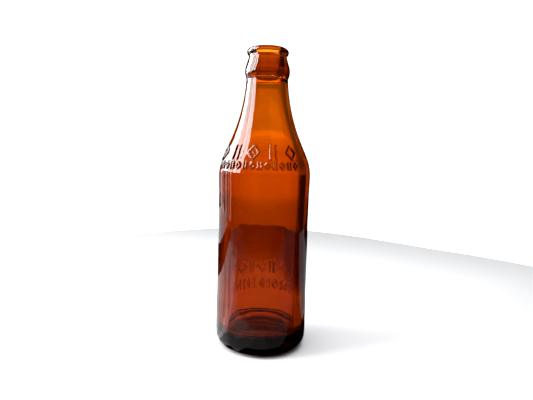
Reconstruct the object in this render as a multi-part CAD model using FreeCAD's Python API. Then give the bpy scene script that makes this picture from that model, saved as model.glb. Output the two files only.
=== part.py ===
"""Crown-finish glass bottle: one thick-walled moulding, given as its five zones."""

import FreeCAD, Part

import math
import os

# Driving dimensions, in millimetres. Z is the axis of the bottle and z = 0 is the table.
HEIGHT = 191.5            # table to the top of the lip
BODY_R = 29.5             # outside of the wall at the heel and at the shoulder
CAVITY_R = 23.0           # inside of the wall
CAVITY_TOP_R = 23.9       # the same at the shoulder, where the glass is thinner
WIDEN_Z = 78.0            # where the inside starts to widen towards the shoulder
PANEL_RECESS = 0.25       # how far the label panel lies behind the wall on either side of it
PANEL_LOW = 27.0          # lower ledge of the label panel
PANEL_HIGH = 107.0        # upper ledge of the label panel
LEDGE = 6.0               # height of the slope at each ledge

BEARING_IN = 19.0         # bearing ring that the bottle stands on, inner and outer radius
BEARING_OUT = 21.5
PUSH_UP = 3.0             # rise of the hollow under the base
HEEL_R = BODY_R - BEARING_OUT
FLOOR_Z = 8.8             # inside floor at the corner
FLOOR_DOME = 1.2          # rise of the inside floor at its middle
CORNER_R = 5.5            # inside corner between floor and wall

SHOULDER_Z = 111.7        # where the wall starts to turn in
SHOULDER_R = 30.0         # round part of the shoulder, outside
FLARE_R = 113.0           # hollow sweep from the shoulder up to the neck, outside
FLARE_INNER_R = 117.0     # the same sweep on the inside, about the same centre
NECK_R = 13.3             # neck under the collar
NECK_LEAN = math.radians(3.0)     # slope that the neck still has under the collar

COLLAR_Z = 173.0          # sharp ledge under the collar
COLLAR_STEP = 0.2
COLLAR_R = 14.35          # collar at its widest
COLLAR_WIDEST_Z = 177.3
COLLAR_ROUND = 10.0
COLLAR_TAPER = math.radians(17.0)
UNDERCUT_R = 12.2         # groove that a cap's skirt crimps into
UNDERCUT_FILLET = 0.7
RING_R = 13.3             # locking ring, 26.6 mm across: the standard crown finish
RING_ROUND = 2.3
BORE_R = 8.3              # mouth
BORE_END_Z = 177.0        # lower end of the straight bore
BORE_ROUND = 1.2          # inner edge of the lip
THROAT_Z = 168.0          # where the cone below the bore meets the inside of the neck

ZONES = (                 # node name and the height at which that zone starts, from the table up
    ("base", 0.0),
    ("body_wall", 16.0),
    ("shoulder", SHOULDER_Z),
    ("neck", 132.0),
    ("crown_finish", COLLAR_Z),
)
MARGIN = 5.0              # how far the slabs that part the zones reach past the glass


def point(r, z):
    """A point of the half section, r millimetres from the axis."""
    return FreeCAD.Vector(r, 0, z)


def on_circle(centre, radius, angle):
    return point(centre[0] + radius * math.cos(angle), centre[1] + radius * math.sin(angle))


def arc(centre, radius, start, end):
    """Arc of the half section, through its middle angle; angles from the +r direction."""
    middle = (start + end) / 2
    ends = [on_circle(centre, radius, angle) for angle in (start, middle, end)]
    return Part.Arc(*ends).toShape()


def dome(radius, rim_z, rise):
    """Shallow dome on the axis: rim point, middle of the arc and crown, as an edge from rim to axis."""
    sphere = (radius**2 + rise**2) / (2 * rise)
    half = math.asin(radius / sphere) / 2
    middle = point(sphere * math.sin(half), rim_z + rise - sphere * (1 - math.cos(half)))
    return Part.Arc(point(radius, rim_z), middle, point(0, rim_z + rise)).toShape()


def shared_tangent(low, low_radius, high, high_radius):
    """Angle of the normal of the line that leaves the round shoulder and joins the hollow sweep."""
    dr, dz = high[0] - low[0], high[1] - low[1]
    reach = math.hypot(dr, dz)
    return math.atan2(dz, dr) - math.acos((low_radius + high_radius) / reach)


def shoulder_edges(round_radius, sweep_radius, sweep_end):
    """Round shoulder, straight stretch and hollow sweep, up to the height or angle where the sweep ends."""
    turn = shared_tangent(ROUND_CENTRE, round_radius, SWEEP_CENTRE, sweep_radius)
    rounding = arc(ROUND_CENTRE, round_radius, 0, turn)
    sweep = arc(SWEEP_CENTRE, sweep_radius, math.pi + turn, math.pi + sweep_end)
    straight = Part.makeLine(on_circle(ROUND_CENTRE, round_radius, turn),
                             on_circle(SWEEP_CENTRE, sweep_radius, math.pi + turn))
    return [rounding, straight, sweep]


def chain(points):
    return [Part.makeLine(a, b) for a, b in zip(points, points[1:])]


# Centres that the outside and the inside of the shoulder share.
ROUND_CENTRE = (BODY_R - SHOULDER_R, SHOULDER_Z)
SWEEP_CENTRE = (NECK_R + FLARE_R * math.cos(NECK_LEAN), COLLAR_Z + FLARE_R * math.sin(NECK_LEAN))


def base_edges():
    """Underside and heel, from the axis outwards, then the wall with its recessed label panel."""
    hollow = dome(BEARING_IN, 0, PUSH_UP)
    heel = arc((BEARING_OUT, HEEL_R), HEEL_R, -math.pi / 2, 0)
    panel_r = BODY_R - PANEL_RECESS
    ring = chain([point(BEARING_IN, 0), point(BEARING_OUT, 0)])
    wall = chain([
        point(BODY_R, HEEL_R),
        point(BODY_R, PANEL_LOW),
        point(panel_r, PANEL_LOW + LEDGE),
        point(panel_r, PANEL_HIGH - LEDGE),
        point(BODY_R, PANEL_HIGH),
        point(BODY_R, SHOULDER_Z),
    ])
    return [hollow] + ring + [heel] + wall


def finish_edges():
    """Collar, undercut, locking ring, lip and bore, going up the outside and back down the inside."""
    collar_centre = (COLLAR_R - COLLAR_ROUND, COLLAR_WIDEST_Z)
    collar_low = math.asin((COLLAR_Z + COLLAR_STEP - COLLAR_WIDEST_Z) / COLLAR_ROUND)
    collar = arc(collar_centre, COLLAR_ROUND, collar_low, COLLAR_TAPER)
    collar_top = on_circle(collar_centre, COLLAR_ROUND, COLLAR_TAPER)
    groove_z = collar_top.z + (collar_top.x - UNDERCUT_R) / math.tan(COLLAR_TAPER)

    ring_centre = (RING_R - RING_ROUND, HEIGHT - RING_ROUND)
    fillet_r = UNDERCUT_R + UNDERCUT_FILLET
    fillet_drop = math.sqrt((RING_ROUND + UNDERCUT_FILLET)**2 - (fillet_r - ring_centre[0])**2)
    fillet_centre = (fillet_r, ring_centre[1] - fillet_drop)
    touch = math.atan2(fillet_drop, fillet_r - ring_centre[0])
    groove = chain([collar_top, point(UNDERCUT_R, groove_z), point(UNDERCUT_R, fillet_centre[1])])
    fillet = arc(fillet_centre, UNDERCUT_FILLET, math.pi, math.pi - touch)
    ring = arc(ring_centre, RING_ROUND, -touch, math.pi / 2)

    lip = chain([point(ring_centre[0], HEIGHT), point(BORE_R + BORE_ROUND, HEIGHT)])
    edge = arc((BORE_R + BORE_ROUND, HEIGHT - BORE_ROUND), BORE_ROUND, math.pi / 2, math.pi)
    bore = chain([point(BORE_R, HEIGHT - BORE_ROUND), point(BORE_R, BORE_END_Z), throat_point()])
    step = chain([point(NECK_R, COLLAR_Z), on_circle(collar_centre, COLLAR_ROUND, collar_low)])
    return step + [collar] + groove + [fillet, ring] + lip + [edge] + bore


def throat_angle():
    """Angle on the inner sweep at the height where the cone from the bore meets it."""
    return math.asin((SWEEP_CENTRE[1] - THROAT_Z) / FLARE_INNER_R)


def throat_point():
    return on_circle(SWEEP_CENTRE, FLARE_INNER_R, math.pi + throat_angle())


def cavity_edges():
    """Inside of the wall, corner and floor, ending on the axis."""
    corner_centre = (CAVITY_R - CORNER_R, FLOOR_Z + CORNER_R)
    wall = chain([
        point(CAVITY_TOP_R, SHOULDER_Z),
        point(CAVITY_R, WIDEN_Z),
        point(CAVITY_R, corner_centre[1]),
    ])
    corner = arc(corner_centre, CORNER_R, 0, -math.pi / 2)
    floor = dome(corner_centre[0], FLOOR_Z, FLOOR_DOME)
    axis = chain([point(0, FLOOR_Z + FLOOR_DOME), point(0, PUSH_UP)])
    return wall + [corner, floor] + axis


def glass():
    """The whole moulding: one closed half section turned about the axis."""
    outside = shoulder_edges(SHOULDER_R, FLARE_R, NECK_LEAN)
    inside = shoulder_edges(CAVITY_TOP_R - ROUND_CENTRE[0], FLARE_INNER_R, throat_angle())
    edges = base_edges() + outside + finish_edges() + inside + cavity_edges()
    section = Part.Face(Part.Wire(Part.__sortEdges__(edges)))
    return section.revolve(FreeCAD.Vector(0, 0, 0), FreeCAD.Vector(0, 0, 1), 360)


def zone(moulding, low, high):
    slab = Part.makeCylinder(BODY_R + MARGIN, high - low, FreeCAD.Vector(0, 0, low))
    return moulding.common(slab)


def main():
    os.makedirs("parts", exist_ok=True)
    moulding = glass()
    tops = [start for _, start in ZONES[1:]] + [HEIGHT + MARGIN]
    for (name, low), high in zip(ZONES, tops):
        piece = zone(moulding, low, high)
        piece.exportStep(f"parts/{name}.step")


main()
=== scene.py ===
"""Amber crown-finish bottle: one seamless skin of thick glass that stands for all five zones."""
import math

import bmesh
import bpy
import numpy as np
from mathutils import Matrix, Vector


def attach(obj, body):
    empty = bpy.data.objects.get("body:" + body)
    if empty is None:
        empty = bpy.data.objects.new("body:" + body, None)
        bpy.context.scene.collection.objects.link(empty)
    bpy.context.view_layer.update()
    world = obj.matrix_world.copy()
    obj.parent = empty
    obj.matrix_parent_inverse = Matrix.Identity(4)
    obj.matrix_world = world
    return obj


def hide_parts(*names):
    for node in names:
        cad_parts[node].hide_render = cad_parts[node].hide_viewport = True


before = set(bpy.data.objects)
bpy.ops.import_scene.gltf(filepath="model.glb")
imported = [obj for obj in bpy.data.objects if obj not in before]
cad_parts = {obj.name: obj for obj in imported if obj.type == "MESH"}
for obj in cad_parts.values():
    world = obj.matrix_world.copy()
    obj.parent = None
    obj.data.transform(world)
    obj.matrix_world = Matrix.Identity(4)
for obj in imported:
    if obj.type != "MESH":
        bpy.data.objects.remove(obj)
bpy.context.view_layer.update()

ZONES = ("base", "body_wall", "shoulder", "neck", "crown_finish")
MM = 0.001

# Moulding, in millimetres. Z is the axis of the bottle and z = 0 is the table.
HEIGHT = 191.5            # table to the top of the lip
BODY_R = 29.5             # outside of the wall at the heel and at the shoulder
CAVITY_R = 23.0           # inside of the wall
CAVITY_TOP_R = 23.9       # the same at the shoulder, where the glass is thinner
WIDEN_Z = 78.0            # where the inside starts to widen towards the shoulder
PANEL_RECESS = 0.25       # how far the label panel lies behind the wall on either side of it
PANEL_LOW = 27.0          # lower ledge of the label panel
PANEL_HIGH = 107.0        # upper ledge of the label panel
LEDGE = 6.0               # height of the slope at each ledge
BEARING_IN = 19.0         # bearing ring that the bottle stands on, inner and outer radius
BEARING_OUT = 21.5
PUSH_UP = 3.0             # rise of the hollow under the base
FLOOR_Z = 8.8             # inside floor at the corner
FLOOR_DOME = 1.2          # rise of the inside floor at its middle
CORNER_R = 5.5            # inside corner between floor and wall
SHOULDER_Z = 111.7        # where the wall starts to turn in
SHOULDER_R = 30.0         # round part of the shoulder, outside
FLARE_R = 113.0           # hollow sweep from the shoulder up to the neck, outside
FLARE_INNER_R = 117.0     # the same sweep on the inside, about the same centre
NECK_R = 13.3             # neck under the collar
NECK_LEAN = math.radians(3.0)         # slope that the neck still has under the collar
COLLAR_Z = 173.0          # sharp ledge under the collar
COLLAR_STEP = 0.55        # height of the rounding that leads from the ledge into the collar
COLLAR_R = 14.35          # collar at its widest
COLLAR_WIDEST_Z = 177.3
COLLAR_ROUND = 10.0
COLLAR_TAPER = math.radians(17.0)
UNDERCUT_R = 12.2         # groove that a cap's skirt crimps into
UNDERCUT_FILLET = 0.7
RING_R = 13.3             # locking ring
RING_ROUND = 2.3
BORE_R = 8.3              # mouth
BORE_END_Z = 177.0        # lower end of the straight bore
BORE_ROUND = 1.2          # inner edge of the lip
THROAT_Z = 168.0          # where the cone below the bore meets the inside of the neck
ROUND_CENTRE = (BODY_R - SHOULDER_R, SHOULDER_Z)
SWEEP_CENTRE = (NECK_R + FLARE_R * math.cos(NECK_LEAN), COLLAR_Z + FLARE_R * math.sin(NECK_LEAN))

# Spacing of the rows of the skin, in millimetres.
COLUMNS = 480             # points in each row
FINE = 0.36               # where the glass carries its ornament
PLAIN = 2.2               # along straight walls
ARC_STEP = 0.35           # round small curves
MERGE = 0.02              # rows closer than this are one

# Raised ornament, in millimetres.
FRONT_AXIS = math.radians(-15.0)      # middle of the front ornament, measured from -Y towards +X
RELIEF = 0.80             # how far it stands out
STROKE = 0.30             # half width of a stroke's flat top
SOFT = 0.50               # width of its rounded edge
FRONT_LOW, FRONT_HIGH = 115.2, 131.2              # band of the shoulder that the front rows lie in
BACK_LOW, BACK_HIGH = 27.9, 51.4                  # band of the wall that the back rows lie in
FRONT_BIG_Z, FRONT_SMALL_Z = 125.9, 118.2         # middle of each row
BACK_BIG_Z, BACK_SMALL_Z = 45.2, 32.6
FRONT_BIG_R, FRONT_SMALL_R = 26.0, 28.8           # radius that the widths of the front rows are measured at

# Marks of the mould, in millimetres, and the turn of the painted shade lines.
HEEL_BEAD_Z = 12.3        # joint between the body mould and the base mould
HEEL_BEAD_REACH = 1.2     # how far fine rows go on either side of it
HEEL_BEAD_WIDTH = 0.55
HEEL_BEAD_RISE = 0.07
SEAM_ANGLES = (FRONT_AXIS - math.pi / 2, FRONT_AXIS + math.pi / 2)
SEAM_WIDTH = 0.45
SEAM_RISE = 0.06
SHADE_LINE_TURN = math.radians(52.0)       # painted shade: fine dark upright lines low on the front, one on each side
OUTER_WAVES = 0.045       # unevenness of the outside
INNER_WAVES = 0.16        # and of the inside, which only blown air has shaped


# ---------------------------------------------------------------- half section

def on_circle(centre, radius, angle):
    return (centre[0] + radius * math.cos(angle), centre[1] + radius * math.sin(angle))


def arc(centre, radius, start, end, step=ARC_STEP):
    count = max(3, math.ceil(abs(end - start) * radius / step))
    return [on_circle(centre, radius, start + (end - start) * i / count) for i in range(count + 1)]


def dome(radius, rim_z, rise, count=8):
    """Shallow dome from its rim to the axis; the point on the axis is left off."""
    sphere = (radius**2 + rise**2) / (2 * rise)
    half = math.asin(radius / sphere)
    angles = [half * (1 - i / count) for i in range(count)]
    return [(sphere * math.sin(a), rim_z + rise - sphere * (1 - math.cos(a))) for a in angles]


def between(start, end, share):
    return tuple(a + (b - a) * share for a, b in zip(start, end))


def line(start, end, step=PLAIN):
    count = max(1, math.ceil(math.dist(start, end) / step))
    return [between(start, end, i / count) for i in range(count + 1)]


def rounded(points, radius, steps=4):
    """A chain of straight lines with every inner corner rounded off."""
    chain = [points[0]]
    for before, corner, after in zip(points, points[1:], points[2:]):
        start, end = [between(corner, other, min(radius / math.dist(corner, other), 0.45))
                      for other in (before, after)]
        for i in range(steps + 1):
            t = i / steps
            weights = ((1 - t)**2, 2 * t * (1 - t), t**2)
            chain.append(tuple(sum(w * p[k] for w, p in zip(weights, (start, corner, end))) for k in (0, 1)))
    chain.append(points[-1])
    return chain


def stretch(points, step):
    """The same chain, with rows added wherever two neighbours stand farther apart than the step."""
    out = []
    for start, end in zip(points, points[1:]):
        out += line(start, end, step)[:-1]
    return out + [points[-1]]


def cut(points, heights):
    """The same chain, with a row exactly at each of the heights."""
    out = [points[0]]
    for start, end in zip(points, points[1:]):
        for z in heights:
            if start[1] < z < end[1]:
                share = (z - start[1]) / (end[1] - start[1])
                out.append((start[0] + (end[0] - start[0]) * share, z))
        out.append(end)
    return out


def joined(*chains):
    """One chain out of several; doubled points where they meet are dropped."""
    out = []
    for chain in chains:
        for point in chain:
            if not out or math.dist(point, out[-1]) > MERGE:
                out.append(point)
    return out


def shared_tangent(round_radius, sweep_radius):
    """Angle of the normal of the straight stretch between the round shoulder and the hollow sweep."""
    dr, dz = SWEEP_CENTRE[0] - ROUND_CENTRE[0], SWEEP_CENTRE[1] - ROUND_CENTRE[1]
    return math.atan2(dz, dr) - math.acos((round_radius + sweep_radius) / math.hypot(dr, dz))


def shoulder(round_radius, sweep_radius, sweep_end, fine, coarse):
    turn = shared_tangent(round_radius, sweep_radius)
    rounding = arc(ROUND_CENTRE, round_radius, 0, turn, fine)
    sweep = arc(SWEEP_CENTRE, sweep_radius, math.pi + turn, math.pi + sweep_end, coarse)
    return joined(rounding, line(rounding[-1], sweep[0], fine), sweep)


def base_and_wall():
    """From the middle of the underside out to the heel and up the wall with its recessed label panel."""
    heel_r = BODY_R - BEARING_OUT
    panel_r = BODY_R - PANEL_RECESS
    underside = dome(BEARING_IN, 0, PUSH_UP)[::-1]
    foot = rounded([underside[-1], (BEARING_IN + 0.3, 0.0), (BEARING_OUT, 0.0)], 0.6)
    heel = arc((BEARING_OUT, heel_r), heel_r, -math.pi / 2, 0, 0.8)
    wall = rounded([
        heel[-1],
        (BODY_R, PANEL_LOW),
        (panel_r, PANEL_LOW + LEDGE),
        (panel_r, PANEL_HIGH - LEDGE),
        (BODY_R, PANEL_HIGH),
        (BODY_R, SHOULDER_Z),
    ], 3.0)
    wall = cut(wall, (HEEL_BEAD_Z - HEEL_BEAD_REACH, HEEL_BEAD_Z + HEEL_BEAD_REACH, BACK_LOW, BACK_HIGH))
    pieces = []
    for low, high in zip(wall, wall[1:]):
        carries_ornament = low[1] < BACK_HIGH and high[1] > BACK_LOW
        pieces.append(stretch([low, high], FINE if carries_ornament else PLAIN))
    return joined(underside, foot, heel, *pieces)


def finish(neck_top):
    """Collar, undercut, locking ring and lip, from the top of the neck to the inner edge of the lip."""
    collar_centre = (COLLAR_R - COLLAR_ROUND, COLLAR_WIDEST_Z)
    collar_low = math.asin((COLLAR_Z + COLLAR_STEP - COLLAR_WIDEST_Z) / COLLAR_ROUND)
    collar = arc(collar_centre, COLLAR_ROUND, collar_low, COLLAR_TAPER)
    groove_z = collar[-1][1] + (collar[-1][0] - UNDERCUT_R) / math.tan(COLLAR_TAPER)
    ring_centre = (RING_R - RING_ROUND, HEIGHT - RING_ROUND)
    fillet_r = UNDERCUT_R + UNDERCUT_FILLET
    fillet_drop = math.sqrt((RING_ROUND + UNDERCUT_FILLET)**2 - (fillet_r - ring_centre[0])**2)
    fillet_centre = (fillet_r, ring_centre[1] - fillet_drop)
    touch = math.atan2(fillet_drop, fillet_r - ring_centre[0])
    fillet = arc(fillet_centre, UNDERCUT_FILLET, math.pi, math.pi - touch, 0.2)
    ring = arc(ring_centre, RING_ROUND, -touch, math.pi / 2)
    ledge = rounded([neck_top, (NECK_R + 0.12, COLLAR_Z), (collar[0][0] - 0.1, COLLAR_Z), collar[0]], 0.35)
    groove = rounded([collar[-1], (UNDERCUT_R, groove_z), fillet[0]], 0.5)
    lip = line(ring[-1], (BORE_R + BORE_ROUND, HEIGHT), 0.8)
    edge = arc((BORE_R + BORE_ROUND, HEIGHT - BORE_ROUND), BORE_ROUND, math.pi / 2, math.pi, 0.2)
    return joined(ledge, collar, groove, fillet, ring, lip, edge)


def outside_section():
    """From the middle of the underside out to the heel, up the wall and on to the inner edge of the lip."""
    slope = shoulder(SHOULDER_R, FLARE_R, NECK_LEAN, FINE, 1.7)
    return joined(base_and_wall(), slope[:-1], finish(slope[-1]))


def inside_section():
    """From the bore down the neck and the wall, round the corner and in to the middle of the floor."""
    throat = math.asin((SWEEP_CENTRE[1] - THROAT_Z) / FLARE_INNER_R)
    slope = shoulder(CAVITY_TOP_R - ROUND_CENTRE[0], FLARE_INNER_R, throat, 1.6, 2.4)[::-1]
    bore = rounded([(BORE_R, HEIGHT - BORE_ROUND), (BORE_R, BORE_END_Z), slope[0], slope[1]], 1.5)
    corner_centre = (CAVITY_R - CORNER_R, FLOOR_Z + CORNER_R)
    corner = arc(corner_centre, CORNER_R, 0, -math.pi / 2, 0.6)
    wall = rounded([slope[-2], slope[-1], (CAVITY_R, WIDEN_Z), corner[0]], 12.0, 8)[1:]
    floor = dome(corner_centre[0], FLOOR_Z, FLOOR_DOME)
    return joined(stretch(bore[:-1], PLAIN), slope[1:-1], stretch(wall, 3.0), corner, floor)


# ------------------------------------------------------------------- ornament

def lozenge(width, height):
    corners = [(0, height / 2), (width / 2, 0), (0, -height / 2), (-width / 2, 0)]
    return list(zip(corners, corners[1:] + corners[:1]))


def twin_bars(offset, height):
    return [((x, -height / 2), (x, height / 2)) for x in (-offset, offset)]


def bead():
    return [((0, 0), (0, 0.01))]


def placed(strokes, arc_x, z):
    return [((a[0] + arc_x, a[1] + z), (b[0] + arc_x, b[1] + z)) for a, b in strokes]


def mirrored_row(items, pitch, z):
    """Items from the middle outwards, repeated on both sides of it."""
    row = []
    for i, item in enumerate(items):
        for side in ((-1, 1) if i else (1,)):
            row += placed(item, side * i * pitch, z)
    return row


def front_rows():
    """The two rows on the shoulder: strokes, middle height and radius of each."""
    big = [lozenge(6.4, 8.6) + bead(), twin_bars(1.7, 8.6), lozenge(6.4, 8.6)]
    small = [lozenge(2.8, 3.8), twin_bars(0.9, 3.8)] * 3 + [lozenge(2.8, 3.8)]
    return (
        (mirrored_row(big, 11.6, FRONT_BIG_Z), FRONT_BIG_Z, FRONT_BIG_R),
        (mirrored_row(small, 4.6, FRONT_SMALL_Z), FRONT_SMALL_Z, FRONT_SMALL_R),
    )


def back_rows():
    big = [lozenge(5.6, 7.6), twin_bars(1.6, 7.6)] * 2
    small = [lozenge(3.6, 5.6), twin_bars(1.2, 5.6)] * 3
    return mirrored_row(big, 9.0, BACK_BIG_Z), mirrored_row(small, 5.8, BACK_SMALL_Z)


def stroke_height(x, y, strokes):
    """Height of the ornament, 0 to 1, at points x along the wall and y up it."""
    nearest = np.full(x.shape, np.inf)
    for (ax, ay), (bx, by) in strokes:
        dx, dy = bx - ax, by - ay
        along = np.clip(((x - ax) * dx + (y - ay) * dy) / (dx * dx + dy * dy), 0, 1)
        nearest = np.minimum(nearest, np.hypot(x - ax - along * dx, y - ay - along * dy))
    share = np.clip((STROKE + SOFT - nearest) / SOFT, 0, 1)
    return share * share * (3 - 2 * share)


def turned_from(angle, middle):
    """Angle measured from the middle one, between half a turn back and half a turn on."""
    return (angle - middle + math.pi) % math.tau - math.pi


def ornament(angle, z):
    """How far the outside stands out at each point, in millimetres."""
    height = np.zeros(z.shape)
    around = turned_from(angle, FRONT_AXIS)
    behind = turned_from(angle, math.pi)
    front = (z > FRONT_LOW) & (z < FRONT_HIGH)
    lean = math.cos(shared_tangent(SHOULDER_R, FLARE_R))
    for strokes, middle, radius in front_rows():
        y = middle + (z[front] - middle) / lean
        height[front] = np.maximum(height[front], stroke_height(around[front] * radius, y, strokes))
    back = (z > BACK_LOW) & (z < BACK_HIGH)
    for strokes in back_rows():
        height[back] = np.maximum(height[back], stroke_height(behind[back] * BODY_R, z[back], strokes))
    return height * RELIEF


def rise(value, low, high):
    """0 under low, 1 over high, straight between."""
    return np.clip((value - low) / (high - low), 0, 1)


def seams(angle, z):
    """Fine ridges where the halves of the mould met, and the bead over the base mould."""
    ridge = np.zeros(z.shape)
    for seam in SEAM_ANGLES:
        away = turned_from(angle, seam) * BODY_R
        ridge = np.maximum(ridge, np.exp(-(away / SEAM_WIDTH)**2) * SEAM_RISE)
    ridge *= rise(z, 6.0, 10.0) * (1 - rise(z, 165.0, 171.0))
    heel_bead = np.exp(-((z - HEEL_BEAD_Z) / HEEL_BEAD_WIDTH)**2) * HEEL_BEAD_RISE
    return np.maximum(ridge, heel_bead)


def waves(angle, z, size, low, high, seed):
    """Slow unevenness of hand-finished moulds: mostly upright ripples that wander as they climb."""
    draw = np.random.default_rng(seed)
    total = np.zeros(z.shape)
    for turns in range(low, high):
        phase, drift = draw.uniform(0, math.tau, 2)
        swing, pitch = draw.uniform(0.4, 1.0, 2)
        total += np.cos(turns * angle + phase + swing * np.sin(z / (34.0 * pitch) + drift)) / turns
    return total * size


# ----------------------------------------------------------------- the skin

LEVEL = 0.9               # a row whose normal points up or down more than this stays flat


def normals_of(section):
    along = np.gradient(np.array(section), axis=0)
    along /= np.linalg.norm(along, axis=1)[:, None]
    return np.stack([along[:, 1], -along[:, 0]], axis=1)


def moved_out(section, count_out):
    """Radius and height of every point of the skin, with the relief and the unevenness of the glass."""
    rows = np.array(section)
    normals = normals_of(section)
    angles = np.arange(COLUMNS) * math.tau / COLUMNS - math.pi
    angle, r = np.meshgrid(angles, rows[:, 0])
    z = np.repeat(rows[:, 1][:, None], COLUMNS, axis=1)
    index = np.arange(len(section))[:, None]

    # The finish is held true to size; the wall below it may wander a little, and least on the shoulder.
    free = (1 - rise(z, 148.0, 168.0)) * rise(z, 9.0, 19.0)
    calm = 1 - 0.75 * rise(z, 108.0, 124.0)
    outer = (index < count_out - 1) * 1.0
    offset = outer * (ornament(angle, z) + seams(angle, z) * (z > 5.0))
    offset += outer * free * calm * waves(angle, z, OUTER_WAVES, 3, 22, 5)
    offset += (1 - outer) * free * waves(angle, z, INNER_WAVES, 2, 18, 11)
    offset *= 1 - outer * (np.abs(normals[:, 1:2]) > LEVEL)
    return angle, r + offset * normals[:, 0:1], z + offset * normals[:, 1:2]


def glass_skin():
    """Points and faces of the closed skin: rows of points about the axis, and a fan at either end."""
    outside, inside = outside_section(), inside_section()
    section = joined(outside, inside)
    angle, radius, height = moved_out(section, len(outside))
    ring = np.stack([radius * np.sin(angle), -radius * np.cos(angle), height], axis=2).reshape(-1, 3)
    middles = [(0.0, 0.0, PUSH_UP), (0.0, 0.0, FLOOR_Z + FLOOR_DOME)]
    points = np.vstack([ring, middles]) * MM
    faces = []
    for row in range(len(section) - 1):
        a, b = row * COLUMNS, (row + 1) * COLUMNS
        for col in range(COLUMNS):
            nxt = (col + 1) % COLUMNS
            faces.append((a + col, a + nxt, b + nxt, b + col))
    low = len(section) * COLUMNS
    last = low - COLUMNS
    for col in range(COLUMNS):
        nxt = (col + 1) % COLUMNS
        faces.append((low, nxt, col))
        faces.append((low + 1, last + col, last + nxt))
    return points, faces


def seeds():
    """Small bubbles shut in the glass of the base and the wall: centre and radius, in millimetres."""
    draw = np.random.default_rng(31)
    found = []
    for _ in range(16):
        angle, r = draw.uniform(0, math.tau), draw.uniform(10.0, 24.5)
        z, size = draw.uniform(4.0, 5.6), draw.uniform(0.14, 0.34)
        found.append(((r * math.sin(angle), -r * math.cos(angle), z), size))
    wall_middle = 27.2
    for _ in range(10):
        angle, z = draw.uniform(0, math.tau), draw.uniform(18, 105)
        place = (wall_middle * math.sin(angle), -wall_middle * math.cos(angle), z)
        found.append((place, draw.uniform(0.10, 0.2)))
    return found


def build_bottle():
    points, faces = glass_skin()
    mesh = bpy.data.meshes.new("bottle_glass")
    mesh.from_pydata(points.tolist(), [], faces)
    skin = bmesh.new()
    skin.from_mesh(mesh)
    bmesh.ops.recalc_face_normals(skin, faces=skin.faces[:])
    for centre, size in seeds():
        place = Matrix.Translation(Vector(centre) * MM) @ Matrix.Diagonal((1, 1, 1.25, 1))
        made = bmesh.ops.create_icosphere(skin, subdivisions=2, radius=size * MM, matrix=place)
        shell = {face for vert in made["verts"] for face in vert.link_faces}
        bmesh.ops.reverse_faces(skin, faces=list(shell))
    for face in skin.faces:
        face.smooth = True
    skin.to_mesh(mesh)
    skin.free()
    return linked("bottle_glass", mesh)


def linked(name, data):
    made = bpy.data.objects.new(name, data)
    bpy.context.collection.objects.link(made)
    return made


# ------------------------------------------------------------- shader maths

class Sock:
    """A shader value that plain arithmetic can be done with."""

    def __init__(self, make, socket):
        self.make = make
        self.socket = socket

    def __add__(self, other):
        return self.make.maths("ADD", self, other)

    def __radd__(self, other):
        return self.make.maths("ADD", other, self)

    def __sub__(self, other):
        return self.make.maths("SUBTRACT", self, other)

    def __rsub__(self, other):
        return self.make.maths("SUBTRACT", other, self)

    def __mul__(self, other):
        return self.make.maths("MULTIPLY", self, other)

    def __rmul__(self, other):
        return self.make.maths("MULTIPLY", other, self)

    def __truediv__(self, other):
        return self.make.maths("DIVIDE", self, other)

    def __rtruediv__(self, other):
        return self.make.maths("DIVIDE", other, self)

    def __pow__(self, other):
        return self.make.maths("POWER", self, other)

    def __rpow__(self, other):
        return self.make.maths("POWER", other, self)

    def at_least(self, other):
        return self.make.maths("MAXIMUM", self, other)

    def size(self):
        return self.make.maths("ABSOLUTE", self)

    def turn_from(self, other):
        """Angle whose sine goes with this value and whose cosine goes with the other."""
        return self.make.maths("ARCTAN2", self, other)

    def ramp(self, low, high):
        """0 under low, 1 over high, smooth between."""
        return self.make.node("ShaderNodeMapRange", {"interpolation_type": "SMOOTHSTEP"},
                              {"Value": self, "From Min": low, "From Max": high}, "Result")

    def near(self, middle, full, none):
        """1 within one distance of the middle, 0 beyond the other, smooth between."""
        return 1.0 - (self - middle).size().ramp(full, none)

    def parts(self):
        """The three values that a vector is made of."""
        split = self.make.node("ShaderNodeSeparateXYZ", {}, {0: self})
        return [Sock(self.make, out) for out in split.socket.node.outputs]


class Finish:
    """A material or world tree being put together."""

    def __init__(self, tree):
        self.tree = tree
        tree.nodes.clear()

    def node(self, kind, settings, sockets, output=0):
        """A new node with its settings, then the values or links of its sockets."""
        made = self.tree.nodes.new(kind)
        for name, value in settings.items():
            setattr(made, name, value)
        for name, value in sockets.items():
            if isinstance(value, Sock):
                self.tree.links.new(value.socket, made.inputs[name])
            else:
                made.inputs[name].default_value = value
        return Sock(self, made.outputs[output]) if made.outputs else None

    def maths(self, operation, *values):
        return self.node("ShaderNodeMath", {"operation": operation}, dict(enumerate(values)))

    def coordinates(self, kind):
        return self.node("ShaderNodeTexCoord", {}, {}, kind)

    def squeezed(self, spot, scale):
        """The position, stretched along each axis before a pattern is laid on it."""
        return self.node("ShaderNodeMapping", {}, {"Vector": spot, "Scale": scale})

    def blend(self, share, first, second):
        """One colour going over into another; sockets 6 and 7 are the two colours."""
        return self.node("ShaderNodeMix", {"data_type": "RGBA"}, {"Factor": share, 6: first, 7: second}, 2)

    def noise(self, spot, scale, detail):
        return self.node("ShaderNodeTexNoise", {}, {"Vector": spot, "Scale": scale, "Detail": detail})

    def surface(self, **sockets):
        named = {name.replace("_", " "): value for name, value in sockets.items()}
        return self.node("ShaderNodeBsdfPrincipled", {}, named)


def new_material(name):
    material = bpy.data.materials.new(name)
    material.use_nodes = True
    return material, Finish(material.node_tree)


# ----------------------------------------------------------------- materials

AMBER_LOSS = (100.0, 225.0, 560.0)   # light lost per metre of glass: red, green, blue
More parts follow.
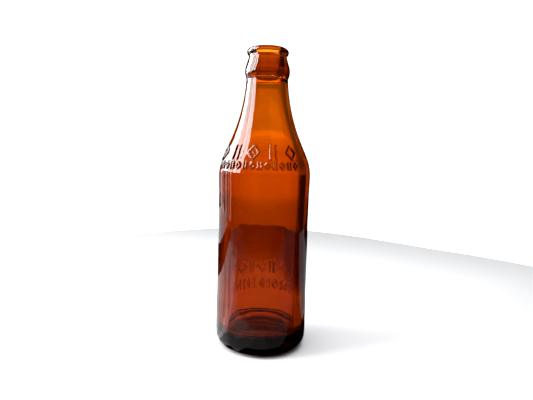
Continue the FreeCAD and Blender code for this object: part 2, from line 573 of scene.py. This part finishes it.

# What each surface lets through, however thin the glass: the walls, the finish and its lip; the near-black
# tints of the base and of the inside floor are painted shade, for the dark foot where the bottle stands on
# the table.
GLASS_TINT = (1.0, 0.66, 0.15, 1.0)
FINISH_TINT = (0.78, 0.44, 0.10, 1.0)
LIP_TINT = (1.0, 0.40, 0.05, 1.0)
BASE_PAINTED_SHADE = (0.12, 0.07, 0.04, 1.0)
INNER_FLOOR_PAINTED_SHADE = (0.20, 0.12, 0.07, 1.0)
# Near-black: real dirt in the heel joint, and painted shade for the upright lines above it.
DIRT_AND_PAINTED_SHADE = (0.004, 0.002, 0.001, 1.0)

HEEL_RUB_Z = 0.0105       # bands that have rubbed against other bottles, in metres
SHOULDER_RUB_Z = 0.1095


def glass_colour(make, spot, x, y, z):
    """Tint of each zone of the glass with painted shade on the base and the inside floor, the dirt in the
    joint, and painted shade lines above it.
    """
    # Painted shade: the glass below 3 to 6.5 mm and the inside floor turn near-black, for the dark foot where
    # it stands on the table.
    colour = make.blend(z.ramp(0.0031, 0.0065), BASE_PAINTED_SHADE, GLASS_TINT)
    inner_floor_shade = (1.0 - ((x * x + y * y) ** 0.5).ramp(0.0195, 0.0215)) * (1.0 - z.ramp(0.0106, 0.0125))
    colour = make.blend(inner_floor_shade, colour, INNER_FLOOR_PAINTED_SHADE)
    colour = make.blend(z.ramp(0.1722, 0.1745), colour, FINISH_TINT)
    colour = make.blend(z.ramp(0.1855, 0.1870), colour, LIP_TINT)

    joint = z.near(HEEL_BEAD_Z * MM, 0.0006, 0.0011)
    # Painted shade: dark upright lines 52 degrees either side of the front, fainter on the right, for the
    # dark edges seen through the uneven glass.
    from_front = x.size().turn_from(-1.0 * y)
    away = BODY_R * MM * (from_front - SHADE_LINE_TURN).size()
    painted_shade_lines = (1.0 - away.ramp(0.0006, 0.0015)) * z.ramp(0.0205, 0.0225) * (1.0 - z.ramp(0.054, 0.066))
    painted_shade_lines = painted_shade_lines * (1.0 - 0.45 * x.ramp(-0.01, 0.01))
    patchy = make.noise(make.squeezed(spot, (160.0, 160.0, 60.0)), 1.0, 2.0).ramp(0.0, 0.35)
    return make.blend(patchy * joint.at_least(0.9 * painted_shade_lines), colour, DIRT_AND_PAINTED_SHADE)


def amber_glass():
    """Amber soda-lime glass: clear, polished, rippled by the mould, scuffed where it has stood and rubbed."""
    material, make = new_material("amber_glass")
    spot = make.coordinates("Object")
    x, y, z = spot.parts()

    ripple = make.noise(make.squeezed(spot, (150.0, 150.0, 14.0)), 1.0, 3.0)
    ripple = ripple * (1.0 - 0.85 * z.ramp(0.108, 0.124))
    pores = make.noise(spot, 900.0, 2.0)
    height = ripple + 0.12 * pores
    bump = make.node("ShaderNodeBump", {}, {"Strength": 0.5, "Distance": 0.00006, "Height": height})

    foot = 1.0 - z.ramp(0.0002, 0.0016)
    rubbed = z.near(HEEL_RUB_Z, 0.0008, 0.0028).at_least(z.near(SHOULDER_RUB_Z, 0.0010, 0.0040))
    grain = make.noise(make.squeezed(spot, (500.0, 500.0, 2200.0)), 1.0, 4.0).ramp(0.52, 0.70)
    wear = (foot * 0.5).at_least(0.10 * grain * rubbed)

    glass = make.surface(
        Base_Color=glass_colour(make, spot, x, y, z),
        Roughness=0.012 + 0.012 * pores + wear,
        IOR=1.52,
        Transmission_Weight=1.0,
        Normal=bump,
    )
    density = max(AMBER_LOSS)
    tint = tuple(1 - loss / density for loss in AMBER_LOSS) + (1.0,)
    inside = make.node("ShaderNodeVolumeAbsorption", {}, {"Color": tint, "Density": density})
    make.node("ShaderNodeOutputMaterial", {}, {"Surface": glass, "Volume": inside})
    return material


def pale_floor():
    material, make = new_material("pale_floor")
    mottle = make.noise(make.coordinates("Object"), 9.0, 3.0)
    colour = make.blend(mottle, (0.80, 0.81, 0.83, 1.0), (0.84, 0.845, 0.86, 1.0))
    make.node("ShaderNodeOutputMaterial", {}, {"Surface": make.surface(Base_Color=colour, Roughness=0.6)})
    return material


def dark_bank():
    """Dull brown, redder to the right, that thins out to nothing at the foot of the bank."""
    material, make = new_material("dark_bank")
    x, _, z = make.coordinates("Object").parts()
    right = x.ramp(0.0, 0.08)
    colour = make.blend(right, (0.34, 0.22, 0.20, 1.0), (0.10, 0.012, 0.012, 1.0))
    cover = (z / BANK_TOP + 0.26 * right).ramp(0.0, 0.55)
    brown = make.surface(Base_Color=colour, Roughness=0.7, Alpha=cover)
    make.node("ShaderNodeOutputMaterial", {}, {"Surface": brown})
    return material


# ------------------------------------------------------------------- bottle

bottle = build_bottle()
bottle.data.materials.append(amber_glass())
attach(bottle, "root")
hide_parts(*ZONES)


# -------------------------------------------------------------------- stage

FAR_EDGE = 0.48           # middle of the table's far edge, behind the bottle
SIDE_EDGE = 0.41          # the same edge, half way round to the sides
BANK_TOP = 0.0221         # crest of the dark bank behind the bottle
BANK_REACH = 0.345        # how far off its crest is behind the bottle
BANK_SIDE = 0.295         # and to the sides
BANK_FOOT = 0.175         # how far its foot lies in front of its crest


def ease(value, low, high):
    share = min(1.0, max(0.0, (value - low) / (high - low)))
    return share * share * (3 - 2 * share)


def heading_point(turn, reach, z):
    """A point of the stage, by its turn from straight behind the bottle and its distance from it."""
    return (reach * math.sin(turn), reach * math.cos(turn), z)


def hide_from(thing, *ways):
    for way in ways:
        setattr(thing, f"visible_{way}", False)


def build_floor():
    """Pale table top with a rounded far edge; it runs on past the viewer."""
    below = -0.0002
    rim = []
    for i in range(-36, 37):
        turn = math.radians(2.5 * i)
        bend = ease(abs(turn), 0.0, math.radians(40.0))
        widening = 0.5 * ease(abs(turn), math.radians(55.0), math.radians(90.0))
        rim.append(heading_point(turn, FAR_EDGE + (SIDE_EDGE - FAR_EDGE) * bend + widening, below))
    rim += [(0.95, -1.3, below), (-0.95, -1.3, below)]
    mesh = bpy.data.meshes.new("floor")
    mesh.from_pydata(rim, [], [tuple(range(len(rim)))[::-1]])
    floor = linked("floor", mesh)
    floor.data.materials.append(pale_floor())
    hide_from(floor, "glossy")


def build_bank():
    """Low dark bank behind the bottle, rising away from it, which only shows through the glass."""
    turns = [math.radians(2.0 * i) for i in range(-42, 43)]
    count = len(turns)
    points = []
    for back, z in ((BANK_FOOT, 0.0002), (0.0, BANK_TOP)):
        for turn in turns:
            bend = ease(abs(turn), 0.0, math.radians(30.0))
            points.append(heading_point(turn, BANK_REACH + (BANK_SIDE - BANK_REACH) * bend - back, z))
    mesh = bpy.data.meshes.new("dark_bank")
    mesh.from_pydata(points, [], [(i, i + 1, count + i + 1, count + i) for i in range(count - 1)])
    bank = linked("dark_bank", mesh)
    bank.data.materials.append(dark_bank())
    hide_from(bank, "camera", "diffuse", "glossy", "shadow")


# --------------------------------------------------------------- surroundings

# Brightness behind the bottle at each height of view, given as the upward part of the direction.
ROOM_LEVELS = (
    (-0.15, 1.20), (-0.10, 1.90), (-0.06, 2.00), (-0.02, 2.35), (0.01, 2.15),
    (0.035, 1.60), (0.07, 1.45), (0.10, 1.55), (0.14, 1.40), (0.19, 0.80),
    (0.24, 0.70), (0.28, 1.20), (0.34, 0.30), (0.42, 0.35), (0.48, 4.00),
)
ROOM_HIGH = 1.5           # the plain backdrop
ROOM_DIM = 0.10           # the dark sides of the room


def build_room():
    """Plain surroundings: bright behind the bottle and round to the left, dim elsewhere."""
    world = bpy.data.worlds.new("room")
    bpy.context.scene.world = world
    world.use_nodes = True
    make = Finish(world.node_tree)
    x, y, up = make.coordinates("Generated").parts()
    heading = (-1.0 * x).turn_from(y)             # 0 straight behind, growing to the left

    def sector(middle, full, none):
        return heading.near(math.radians(middle), math.radians(full), math.radians(none))

    under_ceiling = 1.0 - up.ramp(0.55, 0.75)
    lit = sector(42.0, 66.0, 73.0).at_least(sector(-135.0, 24.0, 34.0)) * under_ceiling
    lit = lit * (1.0 - 0.45 * sector(75.0, 30.0, 50.0))
    bright = ROOM_LEVELS[0][1]
    for (low, level), (high, next_level) in zip(ROOM_LEVELS, ROOM_LEVELS[1:]):
        bright = bright + (next_level - level) * up.ramp(low, high)
    right_side = (0.75 - 0.35 * up.ramp(0.05, 0.15)) * sector(-52.0, 24.0, 32.0)
    right_side = right_side * (up.ramp(-0.07, 0.03) * under_ceiling)
    level = (ROOM_DIM + (bright - ROOM_DIM) * lit).at_least(right_side)

    seen = make.node("ShaderNodeLightPath", {}, {}, "Is Camera Ray")
    level = level * (1.0 - seen) + ROOM_HIGH * seen
    glow = make.node("ShaderNodeBackground", {}, {"Color": (1.0, 0.99, 0.95, 1.0), "Strength": level})
    make.node("ShaderNodeOutputWorld", {}, {"Surface": glow})
    world.cycles_visibility.glossy = False
    world.cycles_visibility.diffuse = False


# --------------------------------------------------------------------- lights

WINDOW_X = -0.60          # plane of the window, to the left
SILL_HIGH = 0.11          # the brighter part of the sill is above this
WINDOW_LOW, WINDOW_HIGH = 0.15, 0.95

# Upright patches, each by the turn of its two sides from the viewer's side towards the window, in degrees.
# A pane also has its brightness.
PANES = ((62, 72, 13.0), (73.5, 84, 14.0), (85.5, 104, 9.0), (104.8, 132, 16.0))
SILLS = ((88, 93), (97, 99), (104, 112), (118, 121), (127, 142))
DIM_PANE = 3              # the pane that lights nothing but shows in reflections

# Strips of the table just in front of the bottle: left and right end and brightness.
NEAR_STRIPS = ((-0.5, -0.035, 0.50), (-0.035, -0.012, 0.32), (-0.012, 0.010, 0.22), (0.010, 0.5, 0.14))


def softbox(name, place, target, width, height, radiance):
    """Rectangular soft light that shows the same brightness from everywhere."""
    lamp = bpy.data.lights.new(name, "AREA")
    lamp.shape = "RECTANGLE"
    lamp.size, lamp.size_y = width, height
    lamp.energy = radiance * math.pi * width * height
    box = linked(name, lamp)
    box.location = place
    box.rotation_euler = (Vector(target) - Vector(place)).to_track_quat("-Z", "Y").to_euler()
    return box


def window_light(name, start, end, low, high, radiance):
    """Upright patch in the plane of the window; it shows in reflections, never through the glass."""
    near, far = [WINDOW_X / math.tan(math.radians(turn)) for turn in (start, end)]
    y, z = (near + far) / 2, (low + high) / 2
    patch = softbox(name, (WINDOW_X, y, z), (0.0, y, z), abs(far - near), high - low, radiance)
    hide_from(patch, "transmission")
    return patch


def shine(name, heading, start, length, width, radiance):
    """What the glass mirrors of the table: a sheet lying on it that only reflections show."""
    heading = math.radians(heading)
    along = Vector((math.cos(heading), math.sin(heading)))
    middle = Vector(start) + along * length / 2 + Vector((along.y, -along.x)) * width / 2
    sheet = softbox(name, (middle.x, middle.y, 0.0005), (middle.x, middle.y, 1.0), length, width, radiance)
    sheet.rotation_euler = (math.pi, 0.0, heading)
    hide_from(sheet, "camera", "diffuse", "transmission")


def build_lights():
    for number, (start, end, radiance) in enumerate(PANES):
        pane = window_light(f"pane_{number}", start, end, WINDOW_LOW, WINDOW_HIGH, radiance)
        pane.visible_diffuse = number != DIM_PANE

    overhead = softbox("overhead", (0.0, -0.02, 0.36), (0.0, -0.02, 0.0), 0.34, 0.34, 4.2)
    hide_from(overhead, "glossy")
    ceiling = softbox("ceiling", (0.0, -0.3, 1.8), (0.0, -0.3, 0.0), 3.6, 3.6, 0.8)
    hide_from(ceiling, "camera", "glossy", "transmission")

    shine("shine_left", 206.0, (-0.025, 0.0), 0.33, 0.162, 1.1)
    shine("shine_beyond", 206.0, (0.256, 0.503), 0.90, 0.45, 1.0)
    shine("shine_front", 0.0, (-0.5, -0.075), 1.0, 0.20, 0.09)
    shine("shine_heel", 0.0, (-0.12, 0.0), 0.096, 0.022, 0.7)
    shine("shine_foot", 0.0, (-0.12, -0.022), 0.106, 0.014, 0.35)
    for number, (low, high, radiance) in enumerate(NEAR_STRIPS):
        shine(f"shine_near_{number}", 0.0, (low, -0.036), high - low, 0.039, radiance)
    shine("shine_right", 10.0, (0.03, 0.22), 0.40, 0.20, 0.30)

    for number, (start, end) in enumerate(SILLS):
        window_light(f"sill_low_{number}", start, end, 0.0, SILL_HIGH, 1.3)
        window_light(f"sill_high_{number}", start, end, SILL_HIGH, WINDOW_LOW, 3.5)


build_floor()
build_bank()
build_room()
build_lights()


# ------------------------------------------------------------------- camera

EYE = Vector((0.0, -0.2872, 0.1229))
DIP = 0.0955              # how far the view looks down, radians
LEAN = 0.0287             # roll
TURN = 0.0059             # turn to the right
FOCAL = 29.72


def build_camera():
    ahead = Vector((math.sin(TURN) * math.cos(DIP), math.cos(TURN) * math.cos(DIP), -math.sin(DIP)))
    level = Vector((math.cos(TURN), -math.sin(TURN), 0.0))
    above = Vector((math.sin(TURN) * math.sin(DIP), math.cos(TURN) * math.sin(DIP), math.cos(DIP)))
    right = level * math.cos(LEAN) + above * math.sin(LEAN)
    up = above * math.cos(LEAN) - level * math.sin(LEAN)
    lens = bpy.data.cameras.new("camera")
    lens.lens = FOCAL
    lens.clip_start = 0.01
    camera = linked("camera", lens)
    camera.matrix_world = Matrix.Translation(EYE) @ Matrix((right, up, -ahead)).transposed().to_4x4()
    bpy.context.scene.camera = camera


build_camera()
bpy.context.scene.view_settings.view_transform = "Standard"
